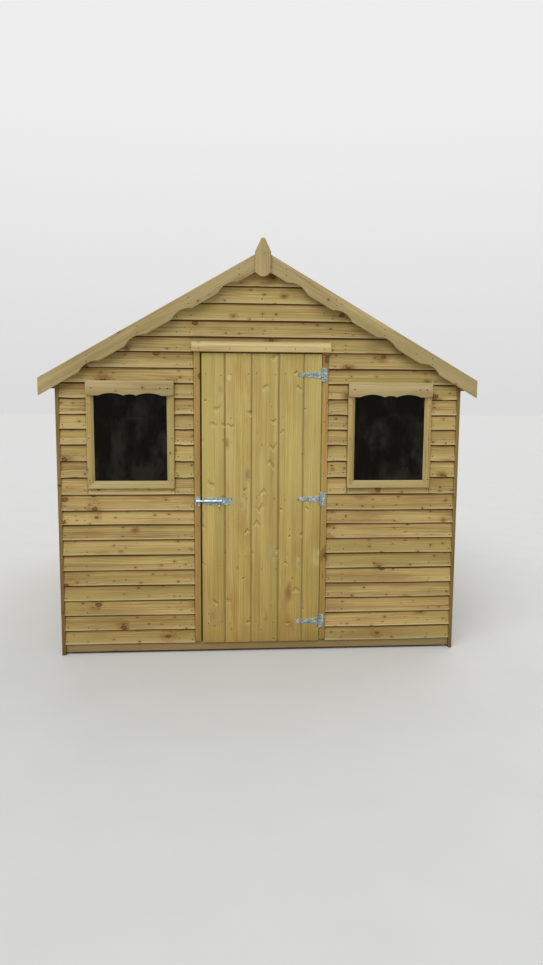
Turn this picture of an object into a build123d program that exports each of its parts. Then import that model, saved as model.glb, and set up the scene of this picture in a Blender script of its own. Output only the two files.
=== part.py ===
"""Wooden garden shed with a gabled front, in millimetres.

The origin is on the ground under the middle of the shed. +X points to the right seen from the door,
+Y to the back gable and +Z up. The four walls are timber frames with lapped boards on the outside,
fixed round a boarded floor on bearers, under a boarded and felted roof.
"""
import os
from math import cos, radians, sin, tan

from build123d import *

# The whole shed
wall_width = 2438.0
wall_length = 3048.0
roof_pitch = 29.7
eaves_height = 1730.0

# Timber sections
timber_width = 38.0
timber_depth = 28.0
strip_thickness = 20.0
corner_strip_width = 65.0
corner_strip_proud = 2.0
hairline = 0.3

# Floor and bottom rails
bearer_size = 45.0
bearer_spacing = 530.0
bearer_pairs = 2
deck_thickness = 12.0
rail_ground_gap = 15.0
rail_height = 50.0

# Lapped boards
board_pitch = 94.0
board_lip = 16.0
board_top = 7.0
board_rail_lap = 6.0

# Doorway, with its middle on the middle of the front
door_left = -360.0
door_right = 361.0
door_rail_gap = 1.0
door_top_over_eaves = 109.0
door_board_thickness = 15.0
door_board_ease = 1.2
door_board_gap = 0.6
door_cove_width = 14.0
door_cove_depth = 4.0
door_cove_middle_width = 0.6
door_cove_middle_depth = 0.75
door_joint_positions = (-217.0, -57.0, 109.0, 258.0)
latch_gap = 11.0
hinge_gap = 4.0
head_gap = 9.0
stop_overlap = 12.0
stop_gap = 5.0
jamb_width = 35.0
jamb_foot_gap = 8.0
head_strip_overhang = 12.5
head_strip_height = 59.0
head_strip_thickness = 22.0
head_strip_face = 34.0
head_strip_cove_depth = 9.0
head_strip_cove_middle_depth = 0.7
head_strip_ease = 3.0

# Ledges and braces on the back of the door
ledge_bottom_margin = 127.0
ledge_middle_rise = 10.5
ledge_top_margin = 123.0
ledge_height = 95.0
ledge_thickness = 19.0
ledge_end_gap = 11.0
brace_width = 70.0

# Windows, one on each side of the door, between the jamb strips and the corners
window_inner_margin = 125.0
window_outer_margin = 159.0
window_height = 641.0
window_top_under_eaves = 57.0
window_stile = 42.5
window_rail_bottom = 45.0
window_rail_top = 66.0
window_proud = 10.0
window_flat = 28.0
window_step = 4.0
window_bevel_start = 7.0
window_bevel_width = 4.0
window_bevel_end = 10.0
window_fit = 1.0
glass_thickness = 3.0
glass_rebate = 8.0
glass_fit = 1.0
glass_setback = 14.0
pelmet_thickness = 14.0
pelmet_height = 88.0
pelmet_step = 2.0
pelmet_step_height = 34.0
pelmet_step_slope = 4.0
pelmet_nose = 8.0
pelmet_flat = 29.0
pelmet_arch_rise = 15.0
pelmet_middle_rise = 8.0
pelmet_middle_share = 0.2
pelmet_cusp_radius = 6.0
pelmet_end_rise = 6.0

# Wall framing
stud_spacing = 590.0

# Roof
roof_board_thickness = 12.0
felt_thickness = 3.0
eaves_reach = 101.0
gable_reach = 27.0
purlin_depth = 58.0
purlin_width = 28.0
purlin_distances = (40.0, 480.0, 930.0)
verge_batten_depth = 38.0
fascia_thickness = 18.0
fascia_height = 45.0
felt_apron = 50.0
ridge_felt_width = 150.0

# Bargeboards and finials
barge_thickness = 18.0
barge_depth = 88.0
barge_end_reach = 7.0
scoop_count = 4
scoop_first = 235.0
scoop_pitch = 310.0
scoop_chord = 137.0
scoop_depth = 22.0
finial_thickness = 15.0
finial_width = 93.0
finial_rise = 64.0
finial_tip_width = 20.0
finial_point_height = 77.0
finial_side_height = 116.0
finial_foot_height = 24.0
finial_foot_width = 26.0

# Tee hinges
hinge_leaf = 2.5
hinge_barrel_radius = 5.5
hinge_barrel_clear = 0.3
hinge_pin_radius = 3.0
pin_fit = 0.1
hinge_plate_height = 84.0
hinge_plate_width = 28.0
hinge_strap_length = 150.0
hinge_strap_root = 40.0
hinge_strap_tip = 18.0
knuckle_fit = 0.4
pin_head_height = 2.0
pin_head_radius = 4.0

# Pad bolt
bolt_under_ledge_middle = 11.0
bolt_sheet = 2.0
bolt_plate_left = -350.0
bolt_plate_right = -180.0
bolt_plate_height = 46.0
bolt_rod_radius = 6.0
bolt_rod_left = -398.0
bolt_rod_right = -242.0
bolt_fit = 0.3
bolt_plate_corner = 9.0
bolt_rod_chamfer = 1.2
guide_positions = (-334.0, -279.0)
guide_width = 18.0
guide_foot = 11.0
keep_left = -401.0
keep_right = -372.0
keep_height = 60.0
knob_position = -257.0
knob_shank_radius = 4.0
knob_drop = 37.0
knob_ball_radius = 7.0

# Planes that the pieces share
half_width = wall_width / 2 - strip_thickness
half_length = wall_length / 2
side_frame_outer = half_width - board_lip
side_frame_inner = side_frame_outer - timber_depth
end_frame_outer = half_length - board_lip
end_frame_inner = end_frame_outer - timber_depth
rail_top = rail_ground_gap + rail_height
lowest_lip_height = rail_top - board_rail_lap
slope = tan(radians(roof_pitch))
slope_cos = cos(radians(roof_pitch))
slope_sin = sin(radians(roof_pitch))
ridge_height = eaves_height + half_width * slope
roof_end = half_width + eaves_reach
barge_end = roof_end + barge_end_reach
barge_inner = half_length + gable_reach
barge_outer = barge_inner + barge_thickness
roof_build_up = roof_board_thickness + felt_thickness

# The doorway's planes, on the front at negative Y
door_face = -end_frame_outer - stop_gap - door_board_thickness
door_back = door_face + door_board_thickness
door_bottom = rail_top + door_rail_gap
door_top = eaves_height + door_top_over_eaves
ledge_back = door_back + ledge_thickness
ledge_low = door_bottom + ledge_bottom_margin
ledge_middle = (door_bottom + door_top) / 2 + ledge_middle_rise
ledge_high = door_top - ledge_top_margin
ledge_heights = (ledge_low, ledge_middle, ledge_high)
bolt_height = ledge_middle - bolt_under_ledge_middle
jamb_left_inner = door_left - latch_gap
jamb_left_outer = jamb_left_inner - jamb_width
jamb_right_inner = door_right + hinge_gap
jamb_right_outer = jamb_right_inner + jamb_width
stop_left = door_left + stop_overlap
stop_right = door_right - stop_overlap
head_bottom = door_top + head_gap
window_left = jamb_right_outer + window_inner_margin
window_width = half_width - window_outer_margin - window_left
window_centre = window_left + window_width / 2
window_top = eaves_height - window_top_under_eaves
window_bottom = window_top - window_height
hinge_x = (door_right + jamb_right_inner) / 2
hinge_y = door_face - hinge_barrel_clear - hinge_barrel_radius
barrel_front = hinge_y - hinge_barrel_radius - knuckle_fit


def block(x_low, x_high, y_low, y_high, z_low, z_high):
    """A box between six planes."""
    size = (x_high - x_low, y_high - y_low, z_high - z_low)
    middle = ((x_low + x_high) / 2, (y_low + y_high) / 2, (z_low + z_high) / 2)
    return Pos(*middle) * Box(*size)


def prism_across_y(outline, y_low, y_high):
    """A closed outline of (x, z) points, from one plane across Y to the other."""
    face = Plane.XZ.offset(-y_high) * make_face(Polyline(*outline, close=True))
    return extrude(face, amount=y_high - y_low)


def prism_across_x(outline, x_low, x_high):
    """A closed outline of (y, z) points, from one plane across X to the other."""
    face = Plane.YZ.offset(x_low) * make_face(Polyline(*outline, close=True))
    return extrude(face, amount=x_high - x_low)


def prism_upright(outline, z_low, z_high):
    """A closed outline of (x, y) points, from one level to another."""
    face = Plane.XY.offset(z_low) * make_face(Polyline(*outline, close=True))
    return extrude(face, amount=z_high - z_low)


def mirrored_x(shape):
    """The same shape on the other side of the shed."""
    return shape.mirror(Plane.YZ)


def mirrored_y(shape):
    """The same shape at the other gable."""
    return shape.mirror(Plane.XZ)


def roof_level(x, drop=0.0):
    """Height of a plane parallel to the roof boards' underside, drop below it square to the slope."""
    return eaves_height + (half_width - abs(x)) * slope - drop / slope_cos


def under_roof(shape, drop=0.0):
    """Trims a shape to what lies under the roof, less a drop square to the slope."""
    reach = barge_end
    outline = [
        (-reach, 0),
        (reach, 0),
        (reach, roof_level(reach, drop)),
        (0, roof_level(0, drop)),
        (-reach, roof_level(reach, drop)),
    ]
    return shape & prism_across_y(outline, -barge_outer, barge_outer)


def slope_strip(x_low, x_high, drop_low, drop_high, y_low, y_high):
    """A slab parallel to the right roof slope, between plumb ends; negative drops lie over the boards."""
    outline = [
        (x_low, roof_level(x_low, drop_high)),
        (x_high, roof_level(x_high, drop_high)),
        (x_high, roof_level(x_high, drop_low)),
        (x_low, roof_level(x_low, drop_low)),
    ]
    return prism_across_y(outline, y_low, y_high)


def save(name, *shapes):
    """Writes one node, as one solid or as several that stay apart."""
    solids = [solid for shape in shapes for solid in shape.solids()]
    whole = solids[0] if len(solids) == 1 else Compound(children=solids)
    export_step(whole, f"parts/{name}.step")


def lip_depth(height):
    """How far a lapped board's face lies behind the lips at a height."""
    course = (height - lowest_lip_height) / board_pitch
    return (board_lip - board_top) * (course - int(course))


def lapped_outline(lip_plane, inward, z_low, z_high):
    """Section of a stretch of lapped boards as (across, height) points."""
    first_course = int((z_low - lowest_lip_height) / board_pitch) + 1
    points = [(lip_plane + inward * board_lip, z_low)]
    points.append((lip_plane + inward * lip_depth(z_low), z_low))
    course = first_course
    while lowest_lip_height + course * board_pitch < z_high - hairline:
        level = lowest_lip_height + course * board_pitch
        points.append((lip_plane + inward * (board_lip - board_top), level))
        points.append((lip_plane, level))
        course += 1
    top_depth = lip_depth(z_high) or board_lip - board_top
    points.append((lip_plane + inward * top_depth, z_high))
    points.append((lip_plane + inward * board_lip, z_high))
    return points


def end_boards(x_low, x_high, z_low, z_high):
    """Lapped boards on the front gable wall, trimmed to the roof."""
    outline = lapped_outline(-half_length, 1, z_low, z_high)
    return under_roof(prism_across_x(outline, x_low, x_high))


def side_boards():
    """Lapped boards on the right side wall, between the gable frames."""
    outline = lapped_outline(half_width, -1, lowest_lip_height, roof_level(side_frame_outer))
    face = Plane.XZ.offset(-end_frame_inner) * make_face(Polyline(*outline, close=True))
    return under_roof(extrude(face, amount=2 * end_frame_inner))


def floor_parts():
    """Bearers on the ground and the deck on them, inside the bottom rails."""
    reach = end_frame_inner - hairline
    bearers = []
    for number in range(-bearer_pairs, bearer_pairs + 1):
        middle = number * bearer_spacing
        half = bearer_size / 2
        bearers.append(block(middle - half, middle + half, -reach, reach, 0, bearer_size))
    save("floor_bearers", *bearers)
    edge = side_frame_inner - hairline
    deck = block(-edge, edge, -reach, reach, bearer_size, bearer_size + deck_thickness)
    save("floor_deck", deck)


def gable_stud(middle, z_low):
    """An upright of a gable frame, cut under the sloping rail."""
    half = timber_width / 2
    raw = block(middle - half, middle + half, -end_frame_outer, -end_frame_inner, z_low, ridge_height)
    return under_roof(raw, timber_width + hairline)


def end_rail(x_low, x_high, z_low, z_high):
    """A level timber of the front gable frame."""
    return block(x_low, x_high, -end_frame_outer, -end_frame_inner, z_low, z_high)


def gable_slope_rails():
    """The two sloping timbers along the top of a gable frame, met at the ridge."""
    raw = slope_strip(hairline / 2, half_width, 0, timber_width, -end_frame_outer, -end_frame_inner)
    return [raw, mirrored_x(raw)]


def front_frame():
    """Frame of the front wall round the doorway and the two windows."""
    low = rail_top + hairline
    half = timber_width / 2
    window_half = window_width / 2 - stop_overlap
    right = [
        gable_stud(half_width - half, low),
        gable_stud(window_centre + window_half + half, low),
        gable_stud(window_centre - window_half - half, low),
    ]
    inner = window_centre - window_half + hairline
    outer = window_centre + window_half - hairline
    sill_top = window_bottom + stop_overlap
    head_low = window_top - stop_overlap
    right.append(end_rail(inner, outer, sill_top - timber_width, sill_top))
    right.append(end_rail(inner, outer, head_low, head_low + timber_width))
    solids = [end_rail(-half_width, half_width, rail_ground_gap, rail_top)]
    solids += right
    solids += [mirrored_x(piece) for piece in right]
    solids.append(gable_stud(stop_left - half, low))
    solids.append(gable_stud(stop_right + half, low))
    door_head = door_top - stop_overlap
    solids.append(end_rail(stop_left + hairline, stop_right - hairline, door_head, door_head + timber_width))
    solids.append(gable_stud(0, door_head + timber_width + hairline))
    save("front_frame", *solids, *gable_slope_rails())


def back_frame():
    """Plain frame of the back wall."""
    low = rail_top + hairline
    half = timber_width / 2
    solids = [mirrored_y(end_rail(-half_width, half_width, rail_ground_gap, rail_top))]
    solids.append(mirrored_y(gable_stud(0, low)))
    for middle in (stud_spacing, half_width - half):
        stud = mirrored_y(gable_stud(middle, low))
        solids += [stud, mirrored_x(stud)]
    solids += [mirrored_y(rail) for rail in gable_slope_rails()]
    save("back_frame", *solids)


def side_frames():
    """Frames of the two side walls, between the gable frames."""
    reach = end_frame_inner - hairline
    half = timber_width / 2
    wall_plate_drop = timber_width * slope_cos
    solids = [block(side_frame_inner, side_frame_outer, -reach, reach, rail_ground_gap, rail_top)]
    plate_low = roof_level(side_frame_outer, wall_plate_drop)
    plate = block(side_frame_inner, side_frame_outer, -reach, reach, plate_low, ridge_height)
    solids.append(under_roof(plate))
    bays = max(1, round(2 * (reach - half) / stud_spacing))
    for number in range(bays + 1):
        middle = -(reach - half) + number * 2 * (reach - half) / bays
        low = rail_top + hairline
        high = plate_low - hairline
        solids.append(block(side_frame_inner, side_frame_outer, middle - half, middle + half, low, high))
    save("right_frame", *solids)
    save("left_frame", *[mirrored_x(piece) for piece in solids])


def cladding():
    """Lapped boards on the four walls, split beside and over the doorway and round the windows."""
    top = ridge_height
    low = lowest_lip_height
    hole_left = window_centre - window_width / 2 - window_fit
    hole_right = window_centre + window_width / 2 + window_fit
    hole_low = window_bottom - window_fit
    hole_top = window_top + window_fit
    for side, jamb in (("left", -jamb_left_outer), ("right", jamb_right_outer)):
        pieces = [
            end_boards(jamb + hairline, half_width, low, hole_low),
            end_boards(jamb + hairline, hole_left, hole_low + hairline, hole_top),
            end_boards(hole_right, half_width, hole_low + hairline, hole_top),
            end_boards(jamb + hairline, half_width, hole_top + hairline, top),
        ]
        if side == "left":
            pieces = [mirrored_x(piece) for piece in pieces]
        save(f"front_cladding_{side}", *pieces)
    save("front_cladding_gable", end_boards(jamb_left_outer, jamb_right_outer, head_bottom, top))
    save("back_cladding", mirrored_y(end_boards(-half_width, half_width, low, top)))
    right = side_boards()
    save("right_cladding", right)
    save("left_cladding", mirrored_x(right))


def corner_strips():
    """Square-edged strips that cover the boards' ends at the four corners."""
    front = -half_length - corner_strip_proud
    raw = block(half_width, half_width + strip_thickness, front, front + corner_strip_width, 0, ridge_height)
    front_right = under_roof(raw)
    save("corner_strip_front_right", front_right)
    save("corner_strip_front_left", mirrored_x(front_right))
    save("corner_strip_back_right", mirrored_y(front_right))
    save("corner_strip_back_left", mirrored_y(mirrored_x(front_right)))


def door_surround():
    """Strips beside the door and the strip over it, with a cove along its upper half."""
    low = door_bottom + jamb_foot_gap
    left = block(jamb_left_outer, jamb_left_inner, door_face, -end_frame_outer, low, head_bottom)
    right = block(jamb_right_inner, jamb_right_outer, door_face, -end_frame_outer, low, head_bottom)
    save("jamb_strip_left", left)
    save("jamb_strip_right", right)
    back = -half_length
    front = back - head_strip_thickness
    top = head_bottom + head_strip_height
    face_top = head_bottom + head_strip_face
    cove_back = front + head_strip_cove_depth
    cove_middle_y = front + head_strip_cove_middle_depth * head_strip_cove_depth
    cove_middle = (cove_middle_y, (2 * face_top + top) / 3)
    foot = (front, head_bottom)
    arris = (front, face_top)
    outline = [
        Polyline((cove_back, top), (back, top), (back, head_bottom), foot, arris),
        ThreePointArc(arris, cove_middle, (cove_back, top)),
    ]
    x_low = jamb_left_outer - head_strip_overhang
    x_high = jamb_right_outer + head_strip_overhang
    strip = extrude(Plane.YZ.offset(x_low) * make_face(outline), amount=x_high - x_low)
    front_edges = strip.edges().filter_by(Axis.X).group_by(Axis.Y)[0]
    save("door_head_strip", fillet(front_edges, head_strip_ease))


def window_section(width):
    """Section of a window member: (distance in from the outer edge, depth from the front) points."""
    depth = window_proud + board_lip
    flat = width - window_stile + window_flat
    bevel = width - window_bevel_width
    rebate = width - glass_rebate
    return [
        (0, depth),
        (0, 0),
        (flat, 0),
        (flat, window_step),
        (bevel, window_bevel_start),
        (width, window_bevel_end),
        (width, glass_setback),
        (rebate, glass_setback),
        (rebate, depth),
    ]


def window_parts(name, centre):
    """One window: a mitred frame with a rebate, its pane and the scalloped board over it."""
    left = centre - window_width / 2
    right = centre + window_width / 2
    front = -half_length - window_proud
    sight_bottom = window_bottom + window_rail_bottom
    rebate_top = window_top - window_rail_top + glass_rebate

    stile_section = [(left + u, front + v) for u, v in window_section(window_stile)]
    stile = prism_upright(stile_section, window_bottom, window_top)
    mitre_cut = [
        (left, window_bottom),
        (left + window_stile, sight_bottom),
        (right, sight_bottom),
        (right, window_bottom),
    ]
    stile -= prism_across_y(mitre_cut, front, -end_frame_outer)
    other_stile = mirror(stile, about=Plane.YZ.offset(centre))

    rail_section = [(front + v, window_bottom + u) for u, v in window_section(window_rail_bottom)]
    rail = prism_across_x(rail_section, left, right)
    rail_outline = [
        (left + hairline, window_bottom),
        (left + window_stile + hairline, sight_bottom),
        (right - window_stile - hairline, sight_bottom),
        (right - hairline, window_bottom),
    ]
    rail &= prism_across_y(rail_outline, front, -end_frame_outer)

    head_section = [(front + v, window_top - u) for u, v in window_section(window_rail_top)]
    head = prism_across_x(head_section, left + window_stile + hairline, right - window_stile - hairline)
    save(f"{name}_frame", stile, other_stile, rail, head)

    pane_front = front + glass_setback + hairline
    edge = window_stile - glass_rebate + glass_fit
    glass = block(
        left + edge,
        right - edge,
        pane_front,
        pane_front + glass_thickness,
        window_bottom + window_rail_bottom - glass_rebate + glass_fit,
        rebate_top - glass_fit,
    )
    save(f"{name}_glass", glass)
    save(f"{name}_pelmet", pelmet(centre, front))


def pelmet(centre, back):
    """Board over a window, rounded along its top and cut to a cupid's bow with rising ends below."""
    front = back - pelmet_thickness
    low = window_top - pelmet_height
    half = window_width / 2
    section = [
        (back, low),
        (front + pelmet_step, low),
        (front + pelmet_step, low + pelmet_step_height),
        (front, low + pelmet_step_height + pelmet_step_slope),
        (front, window_top),
        (back, window_top),
    ]
    board = prism_across_x(section, centre - half, centre + half)
    nose = board.edges().filter_by(Axis.X).group_by(Axis.Z)[-1].sort_by(Axis.Y)[0]
    board = fillet(nose, pelmet_nose)
    run = window_width - 2 * window_stile - 2 * pelmet_flat
    middle_width = pelmet_middle_share * run
    side_width = (run - middle_width) / 2
    side_centre = (middle_width + side_width) / 2
    board -= arch_cutter(centre, low, middle_width, pelmet_middle_rise, front, back)
    for offset in (-side_centre, side_centre):
        board -= arch_cutter(centre + offset, low, side_width, pelmet_arch_rise, front, back)
    for side in (-1, 1):
        end = centre + side * half
        taper = [(end, low), (end, low + pelmet_end_rise), (end - side * window_stile, low)]
        board -= prism_across_y(taper, front, back)
    cusps = [
        edge
        for edge in board.edges().filter_by(Axis.Y)
        if abs(edge.center().Z - low) < hairline and abs(edge.center().X - centre) < middle_width
    ]
    return fillet(cusps, pelmet_cusp_radius)


def arch_cutter(middle, level, width, rise, y_low, y_high):
    """A shallow arch that rises over a level, to be taken out of a board's lower edge."""
    start = (middle - width / 2, level)
    end = (middle + width / 2, level)
    outline = [ThreePointArc(start, (middle, level + rise), end), Line(end, start)]
    face = Plane.XZ.offset(-y_high) * make_face(outline)
    return extrude(face, amount=y_high - y_low)


def door_boards():
    """Five upright boards, each but the last with a cove along its right edge."""
    edges = [door_left, *door_joint_positions, door_right]
    boards = []
    for low, high in zip(edges, edges[1:]):
        left = low + (0 if low == door_left else door_board_gap / 2)
        if high == door_right:
            board = block(left, high, door_face, door_back, door_bottom, door_top)
        else:
            board = coved_board(left, high - door_board_gap / 2)
        arris = board.edges().filter_by(Axis.Z).group_by(Axis.Y)[0].sort_by(Axis.X)[0]
        boards.append(chamfer(arris, door_board_ease))
    save("door_boards", *boards)


def coved_board(left, right):
    """An upright board of the door, scooped along its right edge where the next board starts."""
    start = (right - door_cove_width, door_face)
    end = (right, door_face + door_cove_depth)
    middle_x = right - door_cove_middle_width * door_cove_width
    middle = (middle_x, door_face + door_cove_middle_depth * door_cove_depth)
    outline = [
        Polyline(end, (right, door_back), (left, door_back), (left, door_face), start),
        ThreePointArc(start, middle, end),
    ]
    face = Plane.XY.offset(door_bottom) * make_face(outline)
    return extrude(face, amount=door_top - door_bottom)


def door_backing():
    """Three ledges across the back of the door and a brace up each bay towards the latch side."""
    left = stop_left + ledge_end_gap
    right = stop_right - ledge_end_gap
    ledges = []
    for middle in ledge_heights:
        low = middle - ledge_height / 2
        ledges.append(block(left, right, door_back, ledge_back, low, low + ledge_height))
    save("door_ledges", *ledges)
    braces = []
    for under, over in zip(ledge_heights, ledge_heights[1:]):
        low = under + ledge_height / 2 + hairline
        high = over - ledge_height / 2 - hairline
        outline = [(right - brace_width, low), (right, low), (left + brace_width, high), (left, high)]
        braces.append(prism_across_y(outline, door_back, ledge_back))
    save("door_braces", *braces)


def rolled_knuckle(z_low, z_high, bore):
    """A length of hinge barrel round the pin."""
    height = z_high - z_low
    tube = Cylinder(hinge_barrel_radius, height) - Cylinder(bore, height)
    return Pos(hinge_x, hinge_y, (z_low + z_high) / 2) * tube


def hinge_leaf_sheet(outline):
    """A flat leaf against the wood."""
    return prism_across_y(outline, door_face - hinge_leaf, door_face)


def hinge(level):
    """One tee hinge at a level: the jamb plate, the door strap and the pin."""
    bore = hinge_pin_radius + pin_fit
    half_strap = hinge_strap_root / 2
    half_plate = hinge_plate_height / 2
    plate_right = hinge_x + hinge_plate_width
    plate_outline = [
        (hinge_x, level - half_plate),
        (plate_right, level - half_plate),
        (plate_right, level + half_plate),
        (hinge_x, level + half_plate),
    ]
    window = block(
        hinge_x - hinge_barrel_radius,
        hinge_x + hinge_barrel_radius + knuckle_fit,
        barrel_front,
        door_face,
        level - half_strap - knuckle_fit,
        level + half_strap + knuckle_fit,
    )
    bore_cutter = Pos(hinge_x, hinge_y, level) * Cylinder(bore, hinge_plate_height)
    plate = hinge_leaf_sheet(plate_outline)
    plate += rolled_knuckle(level - half_plate, level + half_plate, bore)
    plate = plate - window - bore_cutter

    tip = hinge_x - hinge_strap_length
    round_end = hinge_strap_tip / 2
    tip_low = (tip + round_end, level - round_end)
    tip_high = (tip + round_end, level + round_end)
    outline = [
        Line((hinge_x, level - half_strap), tip_low),
        ThreePointArc(tip_low, (tip, level), tip_high),
        Line(tip_high, (hinge_x, level + half_strap)),
        Line((hinge_x, level + half_strap), (hinge_x, level - half_strap)),
    ]
    sheet = Plane.XZ.offset(-door_face) * make_face(outline)
    strap = extrude(sheet, amount=hinge_leaf)
    strap += rolled_knuckle(level - half_strap, level + half_strap, bore)
    for clear_low in (level - half_plate, level + half_strap):
        strap -= block(
            hinge_x - hinge_barrel_radius - knuckle_fit,
            hinge_x + hinge_barrel_radius,
            barrel_front,
            door_face,
            clear_low,
            clear_low + half_plate - half_strap,
        )
    strap -= bore_cutter

    pin = Pos(hinge_x, hinge_y, level) * Cylinder(hinge_pin_radius, hinge_plate_height)
    for direction in (-1, 1):
        head_level = level + direction * (half_plate + pin_head_height / 2)
        pin += Pos(hinge_x, hinge_y, head_level) * Cylinder(pin_head_radius, pin_head_height)
    return plate, strap, pin


def hinges():
    """Three tee hinges, level with the ledges."""
    sets = [hinge(level) for level in ledge_heights]
    save("hinge_plates", *[plate for plate, _, _ in sets])
    save("hinge_straps", *[strap for _, strap, _ in sets])
    save("hinge_pins", *[pin for _, _, pin in sets])


def rod_loop(x_low, x_high, foot):
    """A strip of sheet bent over the rod, with a flat foot above and below."""
    inner = bolt_rod_radius + bolt_fit
    outer = inner + bolt_sheet
    base = door_face - bolt_sheet
    rod_y = base - inner
    legs = block(x_low, x_high, rod_y, base, bolt_height - outer, bolt_height + outer)
    bow = Pos((x_low + x_high) / 2, rod_y, bolt_height) * Rot(0, 90, 0) * Cylinder(outer, x_high - x_low)
    foot_end = outer + foot
    feet = block(x_low, x_high, base - bolt_sheet, base, bolt_height - foot_end, bolt_height + foot_end)
    hollow = Pos((x_low + x_high) / 2, rod_y, bolt_height) * Rot(0, 90, 0) * Cylinder(inner, x_high - x_low)
    hollow += block(x_low, x_high, rod_y, base, bolt_height - inner, bolt_height + inner)
    return legs + bow + feet - hollow


def pad_bolt():
    """Pad bolt: plate with two guides on the door, the rod with its knob, and the keep on the jamb."""
    base = door_face - bolt_sheet
    half_plate = bolt_plate_height / 2
    low = bolt_height - half_plate
    plate = block(bolt_plate_left, bolt_plate_right, base, door_face, low, low + bolt_plate_height)
    corners = plate.edges().filter_by(Axis.Y)
    plate = fillet(corners, bolt_plate_corner)
    for middle in guide_positions:
        plate += rod_loop(middle - guide_width / 2, middle + guide_width / 2, guide_foot)
    save("bolt_plate", plate)

    low = bolt_height - keep_height / 2
    keep = block(keep_left, keep_right, base, door_face, low, low + keep_height)
    middle = (keep_left + keep_right) / 2
    keep += rod_loop(middle - guide_width / 2, middle + guide_width / 2, guide_foot)
    save("bolt_keep", keep)

    rod_y = base - bolt_fit - bolt_rod_radius
    length = bolt_rod_right - bolt_rod_left
    rod = Pos((bolt_rod_left + bolt_rod_right) / 2, rod_y, bolt_height) * Rot(0, 90, 0) * Cylinder(
        bolt_rod_radius, length
    )
    rod = chamfer(rod.edges().filter_by(GeomType.CIRCLE), bolt_rod_chamfer)
    knob_y = rod_y - bolt_rod_radius
    shank_low = bolt_height - knob_drop + knob_ball_radius
    shank = Pos(knob_position, knob_y, (shank_low + bolt_height) / 2) * Cylinder(
        knob_shank_radius, bolt_height - shank_low
    )
    ball = Pos(knob_position, knob_y, shank_low) * Sphere(knob_ball_radius)
    save("bolt_rod", rod + shank + ball)


def roof():
    """Boarded slopes on purlins, with verge battens, fascias and felt."""
    reach = barge_inner - hairline
    boards = slope_strip(hairline / 2, roof_end, -roof_board_thickness, 0, -reach, reach)
    save("roof_boards_right", boards)
    save("roof_boards_left", mirrored_x(boards))

    purlin_end = end_frame_inner - hairline
    right_purlins = []
    for distance in purlin_distances:
        x_low = distance * slope_cos
        x_high = (distance + purlin_width) * slope_cos
        right_purlins.append(purlin(x_low, x_high, -purlin_end, purlin_end))
    save("roof_purlins", *right_purlins, *[mirrored_x(piece) for piece in right_purlins])

    batten = slope_strip(hairline / 2, half_width, 0, verge_batten_depth, -reach, -half_length)
    battens = [batten, mirrored_x(batten)]
    save("roof_verge_battens", *battens, *[mirrored_y(piece) for piece in battens])

    fascia_outer = roof_end
    fascia_inner = fascia_outer - fascia_thickness
    fascia_low = roof_level(fascia_outer) - fascia_height
    fascia = under_roof(block(fascia_inner, fascia_outer, -reach, reach, fascia_low, ridge_height))
    save("eaves_fascia_right", fascia)
    save("eaves_fascia_left", mirrored_x(fascia))

    sheet = slope_strip(hairline / 2, roof_end, -roof_build_up, -roof_board_thickness, -reach, reach)
    apron_top = roof_level(roof_end, -roof_board_thickness)
    apron_inner = roof_end + hairline
    apron_outer = apron_inner + felt_thickness
    apron = block(apron_inner, apron_outer, -reach, reach, apron_top - felt_apron, apron_top)
    save("roof_felt_right", sheet, apron)
    save("roof_felt_left", mirrored_x(sheet), mirrored_x(apron))
    cap_low = roof_build_up
    cap_high = roof_build_up + felt_thickness
    cap = slope_strip(hairline / 2, ridge_felt_width * slope_cos, -cap_high, -cap_low, -reach, reach)
    save("roof_felt_ridge", cap, mirrored_x(cap))


def purlin(x_low, x_high, y_low, y_high):
    """A timber along the roof, square to the right slope, hung under the boards."""
    lean = purlin_depth * slope_sin
    outline = [
        (x_low, roof_level(x_low)),
        (x_high, roof_level(x_high)),
        (x_high - lean, roof_level(x_high) - purlin_depth * slope_cos),
        (x_low - lean, roof_level(x_low) - purlin_depth * slope_cos),
    ]
    return prism_across_y(outline, y_low, y_high)


def bargeboard():
    """The front right bargeboard, with plumb ends and four scoops along its lower edge."""
    lower_drop = barge_depth - roof_build_up
    board = slope_strip(hairline / 2, barge_end, -roof_build_up, lower_drop, -barge_outer, -barge_inner)
    radius = (scoop_chord**2 / 4 + scoop_depth**2) / (2 * scoop_depth)
    for number in range(scoop_count):
        along = scoop_first + number * scoop_pitch
        edge_x = along * slope_cos
        edge_z = roof_level(edge_x, lower_drop)
        sink = radius - scoop_depth
        centre = (edge_x - sink * slope_sin, edge_z - sink * slope_cos)
        middle = (-barge_outer - barge_inner) / 2
        cutter = Pos(centre[0], middle, centre[1]) * Rot(90, 0, 0) * Cylinder(radius, 2 * barge_thickness)
        board -= cutter
    return board


def gable_trim():
    """Bargeboards and finials at both gables."""
    right = bargeboard()
    left = mirrored_x(right)
    save("bargeboard_front_right", right)
    save("bargeboard_front_left", left)
    save("bargeboard_back_right", mirrored_y(right))
    save("bargeboard_back_left", mirrored_y(left))
    half = finial_width / 2
    tip = finial_tip_width / 2
    foot = finial_foot_width / 2
    top = roof_level(0, -roof_build_up) + finial_rise
    shoulder = top - finial_point_height
    side_bottom = shoulder - finial_side_height
    bottom = side_bottom - finial_foot_height
    outline = [
        (-foot, bottom),
        (foot, bottom),
        (half, side_bottom),
        (half, shoulder),
        (tip, top),
        (-tip, top),
        (-half, shoulder),
        (-half, side_bottom),
    ]
    front = prism_across_y(outline, -barge_outer - finial_thickness, -barge_outer)
    save("finial_front", front)
    save("finial_back", mirrored_y(front))


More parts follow.
